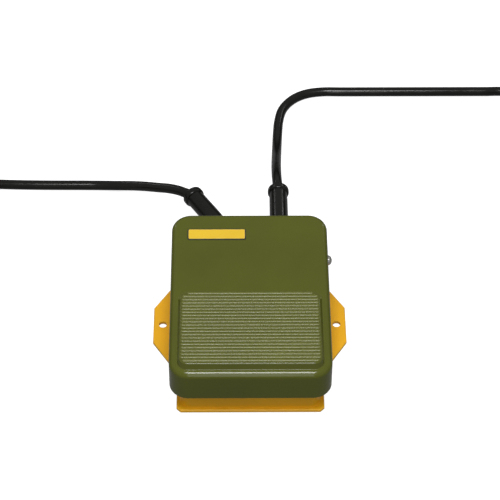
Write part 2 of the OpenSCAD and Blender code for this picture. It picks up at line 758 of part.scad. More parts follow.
// Points of a smooth bend from p to q; out and into are the pulls of its two ends
function bend(p, out, into, q, n) = [for (i = [0:n]) let (t = i / n)
    pow(1 - t, 3) * p + 3 * t * pow(1 - t, 2) * (p + out) + 3 * t * t * (1 - t) * (q - into) + t * t * t * q];

// Where a core leaves its cord's sheath, by its place in the sheath
function core(side, dx, dz) = [side * (entry_x + dx), tail_y, entry_z + dz];

// A wire leaves its sheath with the pull given and may run straight on past its bend
module wire(from, pull, push, to, steps = 8, run = 0) {
    path = bend(from, pull, push, to, steps);
    tube(run > 0 ? concat(path, [to + run * unit(push)]) : path, wire_r, 8, [0, -1, 0], push, [0, 1, -1]);
}

// The switched wires: from the mains cord to the rear blade, from the lower front blade to the tool
module brown_wires() {
    color("#5a3a22") {
        wire(core(-1, core_dx, -core_dz / 2), [-2.5, -16, -4], [12, 0, 0],
            [-blade_t / 2, case_rear_y + blade_l * 0.6, blade_z]);
        wire(core(1, core_dx, -core_dz / 2), [2.5, -34, -4], [-20, 0, 0],
            [blade_t / 2, case_front_y - blade_l * 0.6, blade_z], 12);
    }
}

// Both ends of a joined core run into the terminal block from its two sides
module joined_wires(dx, dz, pull, pole_y) {
    for (side = [-1, 1])
        wire(core(side, dx, dz), [0, -pull, 0], [-8 * side, 0, 0], [side * block_l / 2, pole_y, pole_z], 8,
            block_l / 2 - grub_x / 2);
}

module blue_wires() { color("#24508a") joined_wires(-core_dx, -core_dz / 2, 6, pole_ys[1]); }
module earth_wires() { color("#7a9a2c") joined_wires(0, core_dz, 10, pole_ys[0]); }

// ---- cord entries ----

// Stretch of the bent boot's curve, from one angle to another
module curve(r, from, to) {
    translate([-entry_x - bend_r, bend_y, entry_z]) rotate(from) rotate_extrude(angle = to - from)
        translate([bend_r, 0]) circle(r);
}

// The boot's bore and the cord in it follow the same line
module bent(r, y0) {
    bar_y(r, y0, bend_y, -entry_x, entry_z);
    curve(r, 0, boot_bend);
}

// Grooved root that sits in the tray's slot
module boot_root(x) {
    wall_in_y = tray_rear_y - tray_wall;
    bar_y(boot_flange_r, wall_in_y - boot_flange_t, wall_in_y - fit_gap, x, entry_z);
    bar_y(groove_r, wall_in_y - boot_flange_t, tray_rear_y + boot_flange_t, x, entry_z);
    bar_y(boot_flange_r, tray_rear_y + fit_gap, tray_rear_y + boot_flange_t, x, entry_z);
}

module boot_left() {
    color(black) difference() {
        union() {
            boot_root(-entry_x);
            bent(boot_d / 2, tray_rear_y + boot_flange_t - eps);
            curve(boot_ring_d / 2, boot_bend - ring_bend, boot_bend);
        }
        bent(cord_r + fit_gap, tray_rear_y - 10);
    }
}

module boot_right() {
    color(black) difference() {
        union() {
            boot_root(entry_x);
            bar_y(boot_d / 2, tray_rear_y + boot_flange_t - eps, boot_end_y, entry_x, entry_z);
            bar_y(boot_ring_d / 2, boot_end_y - boot_ring_l, boot_end_y, entry_x, entry_z);
        }
        bar_y(cord_r + fit_gap, tray_rear_y - 10, far * 2, entry_x, entry_z);
    }
}

// Sheathed cord from inside the tray, through the clamp, to the boot's end
module mains_cord_tail() { color(black) bent(cord_r, tail_y); }
module tool_cord_tail() { color(black) bar_y(cord_r, tail_y, boot_end_y, entry_x, entry_z); }

module clamp_bar(x) {
    low = entry_z + clamp_squeeze / 2;
    color("#c8c4b4") difference() {
        block([x - clamp_w / 2, clamp_y - clamp_l / 2, low], [x + clamp_w / 2, clamp_y + clamp_l / 2, low + bar_t]);
        bar_y(cord_r + fit_gap, clamp_y - clamp_l, clamp_y + clamp_l, x, entry_z);
        for (side = [-1, 1]) translate([x + side * clamp_screw_x, clamp_y, entry_z])
            cylinder(d = clamp_screw_d + 2 * fit_gap, h = far);
    }
}

module clamp_bar_left() { clamp_bar(-entry_x); }
module clamp_bar_right() { clamp_bar(entry_x); }

module clamp_screws() {
    color(steel) for (sx = [-1, 1], side = [-1, 1])
        translate([sx * entry_x + side * clamp_screw_x, clamp_y, entry_z + clamp_squeeze / 2 + bar_t])
            pan_screw(clamp_screw_d, clamp_screw_l, clamp_head_d, clamp_head_h);
}

// ---- cords, plug and socket ----

module mains_cord() {
    color(black) {
        tube(mains_route, cord_r, 12, boot_dir, [-1, 0, 0]);
        tube(mains_end, cord_r, 12, [0, -1, 0], [0, -1, 0]);
    }
}

module tool_cord() {
    color(black) tube(tool_route, cord_r, 12, [0, 1, 0], [0, -1, 0]);
}

module mains_coil() {
    half = 1.5 * cord_d;
    color(black) translate([coil_at[0], coil_at[1], 0]) rotate_extrude()
        translate([coil_mid_r, coil_layers * cord_r]) polygon([[-half, -half + cord_r], [-half + cord_r, -half],
            [half - cord_r, -half], [half, -half + cord_r], [half, half - cord_r], [half - cord_r, half],
            [-half + cord_r, half], [-half, half - cord_r]]);
}

// Plug body: a round face, a waist to grip and a nose for the cord
module mains_plug() {
    r = plug_d / 2;
    nose = cord_r + 2.6;
    color(black) translate([mains_x, plug_y, plug_z]) rotate([90, 0, 0]) difference() {
        rotate_extrude() polygon([[0, 0], [nose - 0.8, 0], [nose, 0.8], [nose + 1.4, plug_l * 0.3],
            [r * 0.62, plug_l * 0.38], [r * 0.86, plug_l * 0.52], [r * 0.9, plug_l * 0.66],
            [r * 0.93, plug_l * 0.72], [r, plug_l * 0.76], [r, plug_l - 0.8], [r - 0.8, plug_l], [0, plug_l]]);
        // channels for the earth strips
        for (turn = [0, 180]) rotate(turn) translate([-3.5, r - 2.4, plug_l * 0.74]) cube([7, 10, plug_l]);
        // guide grooves
        for (turn = [90, 270]) rotate(turn) translate([-2.6, r - 1.9, plug_l * 0.74]) cube([5.2, 10, plug_l]);
    }
}

module plug_pins() {
    color(steel) for (sx = [-1, 1]) translate([mains_x + sx * pin_pitch / 2, plug_y - plug_l, plug_z])
        rotate([90, 0, 0]) rotate_extrude() polygon([[0, 0], [plug_pin_d / 2, 0], [plug_pin_d / 2, plug_pin_l - 1.2],
            [plug_pin_d / 2 - 1, plug_pin_l], [0, plug_pin_l]]);
}

module plug_earth_strips() {
    color(steel) translate([mains_x, plug_y, plug_z]) rotate([90, 0, 0]) for (turn = [0, 180])
        rotate(turn) translate([-2.6, plug_d / 2 - 2.4, plug_l * 0.74]) cube([5.2, 1.2, plug_l * 0.26 - 0.4]);
}

module tool_socket() {
    r = socket_d / 2;
    nose = cord_r + 2.6;
    color(black) translate([socket_x, socket_y, socket_z]) rotate([90, 0, 0]) difference() {
        rotate_extrude() polygon([[0, 0], [nose - 0.8, 0], [nose, 0.8], [nose + 1.4, socket_l * 0.2],
            [r * 0.7, socket_l * 0.28], [r * 0.9, socket_l * 0.4], [r * 0.94, socket_l * 0.52],
            [r, socket_l * 0.58], [r, socket_l - 0.8], [r - 0.8, socket_l], [0, socket_l]]);
        translate([0, 0, socket_l - recess_depth]) cylinder(d = recess_d, h = far);
        for (sx = [-1, 1]) translate([sx * pin_pitch / 2, 0, socket_l - recess_depth - 18])
            cylinder(d = plug_pin_d + 0.6, h = far);
    }
}

// Earth springs at the recess's two sides
module socket_contacts() {
    color(steel) translate([socket_x, socket_y, socket_z]) rotate([90, 0, 0]) for (turn = [0, 180])
        rotate(turn) translate([-2.4, recess_d / 2 - 1.5, socket_l - recess_depth]) cube([4.8, 0.8, recess_depth - 2]);
}

base_tray();
rubber_feet();
pedal_cover();
hinge_pin();
pin_clip();
return_spring_left();
return_spring_right();
stop_buffers();
switch_case();
switch_lid();
switch_lever();
switch_button();
switch_blades();
switch_screws();
terminal_block();
terminal_inserts();
terminal_screws();
block_screw();
clamp_bar_left();
clamp_bar_right();
clamp_screws();
brown_wires();
blue_wires();
earth_wires();
boot_left();
boot_right();
mains_cord_tail();
tool_cord_tail();
mains_cord();
mains_coil();
mains_plug();
plug_pins();
plug_earth_strips();
tool_cord();
tool_socket();
socket_contacts();
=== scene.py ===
import math

import bmesh
import bpy
from mathutils import Matrix, Vector, geometry


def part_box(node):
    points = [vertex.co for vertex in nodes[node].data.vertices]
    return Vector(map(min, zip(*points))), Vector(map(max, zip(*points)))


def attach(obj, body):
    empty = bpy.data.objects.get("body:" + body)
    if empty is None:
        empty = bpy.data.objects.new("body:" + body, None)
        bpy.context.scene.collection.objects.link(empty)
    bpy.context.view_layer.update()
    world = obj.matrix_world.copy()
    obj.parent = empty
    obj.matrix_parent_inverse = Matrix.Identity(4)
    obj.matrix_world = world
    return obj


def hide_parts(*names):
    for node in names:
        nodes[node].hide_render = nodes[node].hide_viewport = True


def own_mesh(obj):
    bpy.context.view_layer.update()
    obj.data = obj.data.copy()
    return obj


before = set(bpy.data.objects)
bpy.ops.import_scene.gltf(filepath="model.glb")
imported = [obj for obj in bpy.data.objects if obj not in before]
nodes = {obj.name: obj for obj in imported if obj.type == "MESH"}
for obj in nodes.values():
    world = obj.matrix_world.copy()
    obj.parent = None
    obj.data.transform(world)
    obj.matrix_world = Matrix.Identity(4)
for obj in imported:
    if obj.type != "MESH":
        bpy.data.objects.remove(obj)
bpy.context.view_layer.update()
mm = 0.001
print("frame loaded:", len(nodes), "nodes")


cameraSettings = {
    "aimFromCover": (0.3, 44.3, 7.8),  # mm, from the middle of the cover's box
    "azimuth": -0.59,
    "elevation": 44.75,
    "roll": 0.25,
    "distance": 1338.8,
    "lens": 140.2,
    "clip": (0.01, 20),
}


def makeCamera(settings):
    low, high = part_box("pedal_cover")
    aim = (low + high) / 2 + Vector(settings["aimFromCover"]) * mm
    turn, rise, roll = (math.radians(settings[k]) for k in ("azimuth", "elevation", "roll"))
    back = Vector((math.sin(turn) * math.cos(rise), -math.cos(turn) * math.cos(rise), math.sin(rise)))
    right = Vector((math.cos(turn), math.sin(turn), 0))
    up = back.cross(right)
    right = right * math.cos(roll) + up * math.sin(roll)
    up = back.cross(right)
    place = Matrix((right, up, back)).transposed().to_4x4()
    place.translation = aim + back * settings["distance"] * mm
    data = bpy.data.cameras.new("camera")
    data.lens = settings["lens"]
    data.clip_start, data.clip_end = settings["clip"]
    camera = bpy.data.objects.new("camera", data)
    camera.matrix_world = place
    bpy.context.scene.collection.objects.link(camera)
    bpy.context.scene.camera = camera


makeCamera(cameraSettings)
print("camera set")


class Value:  # a shader socket that takes part in sums
    def __init__(self, shader, socket):
        self.shader, self.socket = shader, socket

    def combined(self, operation, other, swapped=False):
        first, second = (other, self) if swapped else (self, other)
        return self.shader.node("ShaderNodeMath", {"operation": operation}, {0: first, 1: second})

    def __add__(self, other):
        return self.combined("ADD", other)

    def __sub__(self, other):
        return self.combined("SUBTRACT", other)

    def __rsub__(self, other):
        return self.combined("SUBTRACT", other, True)

    def __mul__(self, other):
        return self.combined("MULTIPLY", other)

    __radd__ = __add__
    __rmul__ = __mul__


class Shader:  # adds nodes to the tree of a material or of the world
    def __init__(self, owner):
        owner.use_nodes = True
        self.tree = owner.node_tree

    def node(self, kind, settings=None, inputs=None, output=0):
        made = self.tree.nodes.new(kind)
        for key, value in (settings or {}).items():
            if key == "stops":
                self.setStops(made.color_ramp, value)
            else:
                setattr(made, key, value)
        for key, value in (inputs or {}).items():
            self.feed(made.inputs[key], value)
        return Value(self, made.outputs[output])

    def setStops(self, ramp, stops):
        while len(ramp.elements) < len(stops):
            ramp.elements.new(0.5)
        for element, (place, shade) in zip(ramp.elements, stops):
            element.position = place
            element.color = (shade, shade, shade, 1)

    def feed(self, socket, value):
        if isinstance(value, Value):
            self.tree.links.new(value.socket, socket)
        else:
            socket.default_value = value


class Finish(Shader):  # a material with one Principled surface
    def __init__(self, name, settings):
        self.material = bpy.data.materials.new(name)
        super().__init__(self.material)
        self.surface = next(n for n in self.tree.nodes if n.type == "BSDF_PRINCIPLED")
        for socket, value in settings.items():
            self.surface.inputs[socket].default_value = value

    def surfaceFrom(self, **values):  # baseColor feeds the socket Base Color, and so on
        for key, value in values.items():
            words = "".join(" " + c if c.isupper() else c for c in key)
            self.feed(self.surface.inputs[words[0].upper() + words[1:]], value)

    def noise(self, scale, detail=4.0, roughness=0.5, distortion=0.0):
        place = self.node("ShaderNodeTexCoord", output="Object")
        return self.node("ShaderNodeTexNoise", {}, {
            "Vector": place, "Scale": scale, "Detail": detail,
            "Roughness": roughness, "Distortion": distortion})

    def ramp(self, value, *stops):
        return self.node("ShaderNodeValToRGB", {"stops": stops}, {0: value})

    def mix(self, factor, first, second):
        made = self.node("ShaderNodeMix", {"data_type": "RGBA"}, output=2)
        sockets = made.socket.node.inputs
        for index, value in ((0, factor), (6, first), (7, second)):
            self.feed(sockets[index], (*value, 1) if isinstance(value, tuple) else value)
        return made

    def edges(self, width):  # 1 on sharp edges, 0 on flat faces
        bevel = self.node("ShaderNodeBevel", {"samples": 8}, {"Radius": width})
        normal = self.node("ShaderNodeNewGeometry", output="Normal")
        same = self.node("ShaderNodeVectorMath", {"operation": "DOT_PRODUCT"},
                         {0: bevel, 1: normal}, output=1)
        return self.ramp(1 - same, (0.0, 0.0), (0.12, 1.0))

    def bump(self, height, strength, distance):
        self.surfaceFrom(normal=self.node("ShaderNodeBump", {}, {
            "Height": height, "Strength": strength, "Distance": distance}))


plasticSettings = {
    "cloudScale": 22, "speckScale": 900, "scuffScale": 140, "wornEdge": 0.0012, "edgeWear": 0.35,
    "darker": 0.86, "scuffRough": 0.07, "wearRough": 0.12, "grain": 0.00004, "bump": 0.35,
}
rubberSettings = {
    "dustScale": 55, "skinScale": 1300, "paler": 1.7, "paleFloor": 0.003, "dustRough": 0.16,
    "grain": 0.00005, "bump": 0.4, "shine": 0.3,
}
metalSettings = {
    "streakScale": 700, "stainScale": 60, "duller": 0.72, "streakRough": 0.18,
    "grain": 0.00003, "bump": 0.25, "roughness": 0.26,
}


def mouldedPlastic(name, colour, wornAndLitColour, roughness, shine=0.5):
    s = plasticSettings
    finish = Finish(name, {"IOR": 1.5, "Specular IOR Level": shine})
    cloud = finish.noise(s["cloudScale"], detail=3)
    speck = finish.noise(s["speckScale"], detail=2, roughness=0.6)
    scuff = finish.noise(s["scuffScale"], detail=6, roughness=0.7, distortion=1.5)
    # sharp edges take a lighter colour in patches: partly wear, partly a painted highlight along the
    # edges
    wornAndLitEdges = finish.edges(s["wornEdge"]) * s["edgeWear"] * finish.ramp(scuff, (0.35, 0.0), (0.65, 1.0))
    dark = tuple(c * s["darker"] for c in colour)
    body = finish.mix(finish.ramp(cloud, (0.3, 0.0), (0.7, 1.0)), dark, colour)
    body = finish.mix(wornAndLitEdges, body, wornAndLitColour)
    rough = roughness + s["scuffRough"] * scuff + s["wearRough"] * wornAndLitEdges
    finish.surfaceFrom(baseColor=body, roughness=rough)
    finish.bump(speck * 0.6 + cloud * 0.4, s["bump"], s["grain"])
    return finish.material


def rubberSkin(name, colour, roughness):
    s = rubberSettings
    finish = Finish(name, {"IOR": 1.52, "Specular IOR Level": s["shine"]})
    dust = finish.noise(s["dustScale"], detail=7, roughness=0.65)
    skin = finish.noise(s["skinScale"], detail=2)
    pale = tuple(min(1, c * s["paler"] + s["paleFloor"]) for c in colour)
    body = finish.mix(finish.ramp(dust, (0.5, 0.0), (0.78, 0.7)), colour, pale)
    rough = roughness + s["dustRough"] * finish.ramp(dust, (0.4, 0.0), (0.75, 1.0))
    finish.surfaceFrom(baseColor=body, roughness=rough)
    finish.bump(skin, s["bump"], s["grain"])
    return finish.material


def platedMetal(name, colour):
    s = metalSettings
    finish = Finish(name, {"Metallic": 1.0})
    streak = finish.noise(s["streakScale"], detail=4, roughness=0.7, distortion=0.6)
    stain = finish.noise(s["stainScale"], detail=5)
    dull = tuple(c * s["duller"] for c in colour)
    body = finish.mix(finish.ramp(stain, (0.4, 0.0), (0.75, 1.0)), colour, dull)
    finish.surfaceFrom(baseColor=body, roughness=s["roughness"] + s["streakRough"] * streak)
    finish.bump(streak, s["bump"], s["grain"])
    return finish.material


finishes = {  # plastics: name, colour, edge colour (worn and painted highlight)
    "cover": mouldedPlastic("olive nylon", (0.089, 0.100, 0.009), (0.15, 0.16, 0.05),
                            roughness=0.13, shine=0.34),
    "pad": mouldedPlastic("olive nylon, trodden", (0.089, 0.098, 0.012), (0.16, 0.17, 0.06),
                          roughness=0.15, shine=0.36),
    # the ribs are lighter than the pad: partly worn crests, partly painted highlight of the light
    # they catch
    "rib": mouldedPlastic("olive nylon, rib, wear and painted sheen", (0.148, 0.158, 0.038), (0.21, 0.22, 0.10),
                          roughness=0.24, shine=0.36),
    "base": mouldedPlastic("golden nylon", (0.92, 0.47, 0.012), (0.94, 0.58, 0.08),
                           roughness=0.26, shine=0.34),
    "rubber": rubberSkin("black rubber", (0.004, 0.004, 0.003), roughness=0.16),
    "sheath": rubberSkin("black cord sheath", (0.004, 0.004, 0.003), roughness=0.14),
    "plug": mouldedPlastic("black plug plastic", (0.016, 0.016, 0.015), (0.05, 0.05, 0.045),
                           roughness=0.42),
    "steel": platedMetal("plated steel", (0.62, 0.61, 0.58)),
    "brass": platedMetal("brass", (0.72, 0.52, 0.20)),
    "switch": mouldedPlastic("dark switch plastic", (0.035, 0.032, 0.028), (0.09, 0.085, 0.08),
                             roughness=0.45),
    "button": mouldedPlastic("red button plastic", (0.26, 0.03, 0.015), (0.4, 0.1, 0.06),
                             roughness=0.4),
    "cream": mouldedPlastic("cream plastic", (0.76, 0.72, 0.60), (0.85, 0.82, 0.74),
                            roughness=0.42),
    "brownWire": mouldedPlastic("brown insulation", (0.10, 0.045, 0.02), (0.18, 0.09, 0.05),
                                roughness=0.38),
    "blueWire": mouldedPlastic("blue insulation", (0.02, 0.08, 0.28), (0.08, 0.16, 0.4),
                               roughness=0.38),
    "earthWire": mouldedPlastic("green and yellow insulation", (0.25, 0.38, 0.03), (0.6, 0.6, 0.1),
                                roughness=0.38),
    "plate": mouldedPlastic("yellow plate enamel", (0.86, 0.56, 0.03), (0.9, 0.7, 0.3),
                            roughness=0.25),
    "plateEdge": mouldedPlastic("dark plate edge", (0.02, 0.026, 0.02), (0.06, 0.07, 0.05),
                                roughness=0.3),
}
print("finishes made:", len(finishes))

nodeFinish = {
    "base_tray": "base", "rubber_feet": "rubber", "hinge_pin": "steel", "pin_clip": "steel",
    "return_spring_left": "steel", "return_spring_right": "steel", "stop_buffers": "rubber",
    "switch_case": "switch", "switch_lid": "switch", "switch_lever": "steel",
    "switch_button": "button", "switch_blades": "brass", "switch_screws": "steel",
    "terminal_block": "cream", "terminal_inserts": "brass", "terminal_screws": "steel",
    "block_screw": "steel", "clamp_bar_left": "cream", "clamp_bar_right": "cream",
    "clamp_screws": "steel", "brown_wires": "brownWire", "blue_wires": "blueWire",
    "earth_wires": "earthWire", "tool_cord_tail": "sheath", "mains_plug": "plug",
    "plug_pins": "steel", "plug_earth_strips": "steel", "tool_socket": "plug",
    "socket_contacts": "steel",
}
dressSettings = {
    "softEdges": {"base_tray": 0.5, "mains_plug": 0.5, "tool_socket": 0.5},  # mm of rounding
    "softAbove": 40, "softSegments": 2, "smoothBelow": 32, "faceWeight": 80,
}


def dressNode(name, finish, s):  # the solid keeps its mesh and gets a finish and clean shading
    node = nodes[name]
    node.data.materials.clear()
    node.data.materials.append(finishes[finish])
    node.data.set_sharp_from_angle(angle=math.radians(s["smoothBelow"]))
    node.data.polygons.foreach_set("use_smooth", [True] * len(node.data.polygons))
    if name in s["softEdges"]:
        bevel = node.modifiers.new("softEdges", "BEVEL")
        bevel.width, bevel.segments = s["softEdges"][name] * mm, s["softSegments"]
        bevel.angle_limit = math.radians(s["softAbove"])
    shading = node.modifiers.new("shading", "WEIGHTED_NORMAL")
    shading.keep_sharp = True
    shading.weight = s["faceWeight"]


for name, finish in nodeFinish.items():
    dressNode(name, finish, dressSettings)
print("nodes dressed:", len(nodeFinish))


def skin(rings, around=False):  # faces between closed rings of one count, in millimetres
    count = len(rings[0])
    faces = [(r * count + k, r * count + (k + 1) % count,
              (r + 1) * count + (k + 1) % count, (r + 1) * count + k)
             for r in range(len(rings) - 1) for k in range(count)]
    end = (len(rings) - 1) * count
    if around:
        faces += [(end + k, end + (k + 1) % count, (k + 1) % count, k) for k in range(count)]
    else:
        faces += [tuple(range(count - 1, -1, -1)), tuple(range(end, end + count))]
    return [p for ring in rings for p in ring], faces


def together(*parts):
    points, faces = [], []
    for morePoints, moreFaces in parts:
        faces += [tuple(len(points) + k for k in face) for face in moreFaces]
        points += morePoints
    return points, faces


def circle(count):
    return [math.tau * k / count for k in range(count)]


def outline(halfX, front, rear, radius, steps=12):  # a rectangle with round corners
    corners = ((1, rear - radius, 0), (-1, rear - radius, 90),
               (-1, front + radius, 180), (1, front + radius, 270))
    return [(side * (halfX - radius) + radius * math.cos(a), y + radius * math.sin(a))
            for side, y, start in corners
            for a in (math.radians(start + 90 * k / steps) for k in range(steps + 1))]


def turned(profile, at, axis, around=False):  # profile of (radius, height along the axis)
    order = {"x": (2, 0, 1), "z": (0, 1, 2)}[axis]
    rings = []
    for radius, height in profile:
        ring = []
        for a in circle(32):
            local = (radius * math.cos(a), radius * math.sin(a), height)
            ring.append(tuple(local[order[j]] + at[j] for j in range(3)))
        rings.append(ring)
    return skin(rings, around)


def newMesh(name, points, faces, finishNames, secondFrom=None):
    mesh = bpy.data.meshes.new(name)
    mesh.from_pydata([Vector(p) * mm for p in points], [], faces)
    for finish in finishNames:
        mesh.materials.append(finishes[finish])
    if secondFrom is not None:  # the faces from here on take the second finish
        for face in list(mesh.polygons)[secondFrom:]:
            face.material_index = 1
    work = bmesh.new()
    work.from_mesh(mesh)
    bmesh.ops.recalc_face_normals(work, faces=work.faces)
    work.to_mesh(mesh)
    work.free()
    return mesh


def finishedPiece(name, mesh, body, smoothBelow=34):
    mesh.set_sharp_from_angle(angle=math.radians(smoothBelow))
    mesh.polygons.foreach_set("use_smooth", [True] * len(mesh.polygons))
    piece = bpy.data.objects.new(name, mesh)
    bpy.context.scene.collection.objects.link(piece)
    shading = piece.modifiers.new("shading", "WEIGHTED_NORMAL")
    shading.keep_sharp = True
    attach(piece, body)
    return piece


def carved(mesh, cutters):  # the mesh less the closed cutters
    holder = bpy.data.objects.new("carved", mesh)
    bpy.context.scene.collection.objects.link(holder)
    tools = []
    for points, faces in cutters:
        tool = bpy.data.objects.new("cutter", newMesh("cutter", points, faces, ()))
        bpy.context.scene.collection.objects.link(tool)
        cut = holder.modifiers.new("cut", "BOOLEAN")
        cut.operation, cut.solver, cut.object = "DIFFERENCE", "EXACT", tool
        tools.append(tool)
    bpy.context.view_layer.update()
    depsgraph = bpy.context.evaluated_depsgraph_get()
    result = bpy.data.meshes.new_from_object(holder.evaluated_get(depsgraph))
    for leftover in [holder, *tools]:
        bpy.data.objects.remove(leftover)
    return result


coverSettings = {
    "halfWidth": 53.5, "front": -70, "rear": 70, "corner": 13, "edge": 4, "wall": 2.5,
    "low": 21.5, "roofExtra": 0.1, "rimInside": 0.4, "rimOutside": 0.5,
    "frontTop": 44.5, "rearTop": 55.5,
    "padHalf": 47.8, "padFront": -65.5, "padRear": -0.4, "padCorner": 6.5, "padRise": 4.5,
    "padDraft": 1.0, "padEdge": 1.1, "padFoot": 0.45, "padFootAt": 2.4,
    "notchX": 21.5, "notchZ": 22, "notchRadius": 7.55, "notchDepth": 8, "cutPast": 6,
    "bore": 2.02, "boreFrom": 44, "boreTo": 60, "pinY": 44, "pinZ": 35,
}
ribSettings = {
    "pitch": 2.85, "width": 2.1, "height": 0.62, "sunk": 0.15, "margin": 1.0, "end": 1.3,
    "round": 1.1, "tip": 0.1,
}


def coverTop(y):
    s = coverSettings
    slope = (s["rearTop"] - s["frontTop"]) / (s["rear"] - s["front"])
    return s["frontTop"] + (y - s["front"]) * slope


def padTop(y):
    s = coverSettings
    frontZ = coverTop(s["padFront"]) + s["padRise"]
    slope = (coverTop(s["padRear"]) - frontZ) / (s["padRear"] - s["padFront"])
    return frontZ + (y - s["padFront"]) * slope


def coverRing(inset, drop=None, z=None):
    s = coverSettings
    line = outline(s["halfWidth"] - inset, s["front"] + inset, s["rear"] - inset,
                   s["corner"] - inset)
    return [(x, y, coverTop(y) - drop if z is None else z) for x, y in line]


def padRing(inset, foot, share):  # share 0 is measured from the cover's top, 1 from the pad's top
    s = coverSettings
    ring = []
    for x, y in outline(s["padHalf"] - inset, s["padFront"] + inset, s["padRear"] - inset,
                        s["padCorner"] - inset):
        rise = max(padTop(y) - coverTop(y), 0)
        ring.append((x, y, coverTop(y) + share * rise + foot * min(1, rise / s["padFootAt"])))
    return ring


def coverBody(s):
    edge, wall, low, foot = s["edge"], s["wall"], s["low"], s["padFoot"]
    roof, inside, outside = wall + s["roofExtra"], s["rimInside"], s["rimOutside"]
    arc = [math.radians(9 * k) for k in range(11)]
    rings = [coverRing(edge, roof)]
    rings += [coverRing(wall + (edge - wall) * (1 - math.cos(a)),
                        roof + (edge - wall) * (1 - math.sin(a))) for a in arc[::-2]]
    rings += [coverRing(wall, z=low + inside), coverRing(wall - inside, z=low),
              coverRing(outside, z=low), coverRing(outside * 0.3, z=low + outside * 0.3),
              coverRing(0, z=low + outside)]
    rings += [coverRing(edge * (1 - math.cos(a)), edge * (1 - math.sin(a))) for a in arc]
    padFirst = len(rings)
    rings += [padRing(-foot * (1 - math.sin(a)), foot * (1 - math.cos(a)), 0) for a in arc[::2]]
    draft, brow = s["padDraft"], s["padEdge"]
    rings += [padRing(draft + brow * (1 - math.cos(a)), -brow * (1 - math.sin(a)), 1) for a in arc]
    points, faces = skin(rings)
    top = faces.pop(-1)
    under = faces.pop(-1)
    faces = [under] + faces + [top]
    padFaces = 1 + len(rings[0]) * padFirst
    return carved(newMesh("pedalCover", points, faces, ("cover", "pad"), padFaces), coverCutters(s))


def coverCutters(s):  # the notches over the boots and the pin's bores
    x, z, r = s["notchX"], s["notchZ"], s["notchRadius"]
    reach = (s["rear"] - s["notchDepth"], s["rear"] + s["cutPast"])
    cutters = []
    for side in (-1, 1):
        arch = [(side * x + r * math.cos(math.radians(a)), z + r * math.sin(math.radians(a)))
                for a in range(0, 181, 9)]
        arch += [(side * x - r, s["low"] - 3), (side * x + r, s["low"] - 3)]
        cutters.append(skin([[(u, y, w) for u, w in arch] for y in reach]))
        cutters.append(turned([(s["bore"], side * s["boreFrom"]), (s["bore"], side * s["boreTo"])],
                              (0, s["pinY"], s["pinZ"]), "x"))
    return cutters


def halfLength(y):  # of a rib at y, inside the pad's rounded outline
    s, gap = coverSettings, ribSettings["margin"]
    x, r = s["padHalf"] - s["padDraft"] - gap, s["padCorner"] - gap
    past = max(s["padFront"] + s["padDraft"] + gap + r - y, y - (s["padRear"] - gap - r), 0)
    return x - r + math.sqrt(max(r * r - past * past, 0))


def ribLoop(s, y, x, half):  # a half-round section at x, smaller towards the rib's ends
    past = max(abs(x) - half + s["round"], 0) / s["round"]
    share = max(math.sqrt(max(1 - past * past, 0)), s["tip"])
    wide, high = s["width"] / 2 * share, s["height"] * share
    arch = [(-math.cos(a) * wide, math.sin(a) * high)
            for a in (math.radians(20 * k) for k in range(10))]
    loop = [(-wide, -s["sunk"])] + arch + [(wide, -s["sunk"])]
    return [(x, y + u, padTop(y + u) + w) for u, w in loop]


def padRibs(s):
    cover, parts = coverSettings, []
    reach = (cover["padRear"] - cover["padFront"] - cover["padDraft"]
             - s["margin"] - s["width"] / 2 - s["end"])
    for k in range(1 + int(reach / s["pitch"])):
        y = cover["padRear"] - s["end"] - k * s["pitch"]
        half = halfLength(y)
        right = [half - s["round"] * (1 - math.sin(math.radians(15 * n))) for n in range(7)]
        stations = sorted([-x for x in right] + right)
        parts.append(skin([ribLoop(s, y, x, half) for x in stations]))
    return together(*parts)


postSettings = {  # what the cover carries inside
    "pinBoss": {"radius": 6, "from": 47.4, "to": 51.3},
    "springBoss": {"x": 30, "y": -44.5, "profile": [(3.1, 32), (3.1, 35.4), (5.8, 35.4)]},
    "stopPost": {"x": 14, "y": -52, "profile": [(4, 26.13)]},
    "rearPost": {"x": 38.7, "y": 57.2, "profile": [(3.2, 38.15)]},
    "intoRoof": 2.3,  # under the cover's top
    "web": {"x": 21.5, "halfWidth": 0.8, "low": 5.6, "high": 2.4, "ends": (-66, 66)},
    "leverPost": {"y": -24, "z": 33.69, "halfX": 4, "nose": 2, "high": 2.4},
}


def coverPosts(s):
    parts = []
    boss, web, lever = s["pinBoss"], s["web"], s["leverPost"]
    bore, pin = coverSettings["bore"], (0, coverSettings["pinY"], coverSettings["pinZ"])
    for side in (-1, 1):
        profile = [(bore, boss["from"]), (boss["radius"], boss["from"]),
                   (boss["radius"], boss["to"]), (bore, boss["to"])]
        parts.append(turned([(r, side * h) for r, h in profile], pin, "x", around=True))
        for post in (s["springBoss"], s["stopPost"], s["rearPost"]):
            head = (post["profile"][-1][0], coverTop(post["y"]) - s["intoRoof"])
            parts.append(turned(post["profile"] + [head], (side * post["x"], post["y"], 0), "z"))
        wide = web["halfWidth"]
        section = ((-wide, web["low"]), (wide, web["low"]), (wide, web["high"]), (-wide, web["high"]))
        parts.append(skin([[(side * web["x"] + u, y, coverTop(y) - w) for u, w in section]
                           for y in web["ends"]]))
    wide, y, z = lever["halfX"], lever["y"], lever["z"]
    parts.append(turned([(lever["nose"], -wide), (lever["nose"], wide)], (0, y, z), "x"))
    post = []
    for v in (y - lever["nose"], y + lever["nose"]):
        head = coverTop(v) - lever["high"]
        post.append([(-wide, v, z), (wide, v, z), (wide, v, head), (-wide, v, head)])
    parts.append(skin(post))
    return together(*parts)


plateSettings = {
    "middle": (-22.55, 50.4),
    "rim": {"half": (20.05, 4.9), "corner": 1.4, "low": -0.2, "high": 0.45, "edge": 0.25},
    "face": {"half": (19.3, 4.15), "corner": 0.9, "low": 0.2, "high": 0.6, "edge": 0.12},
}


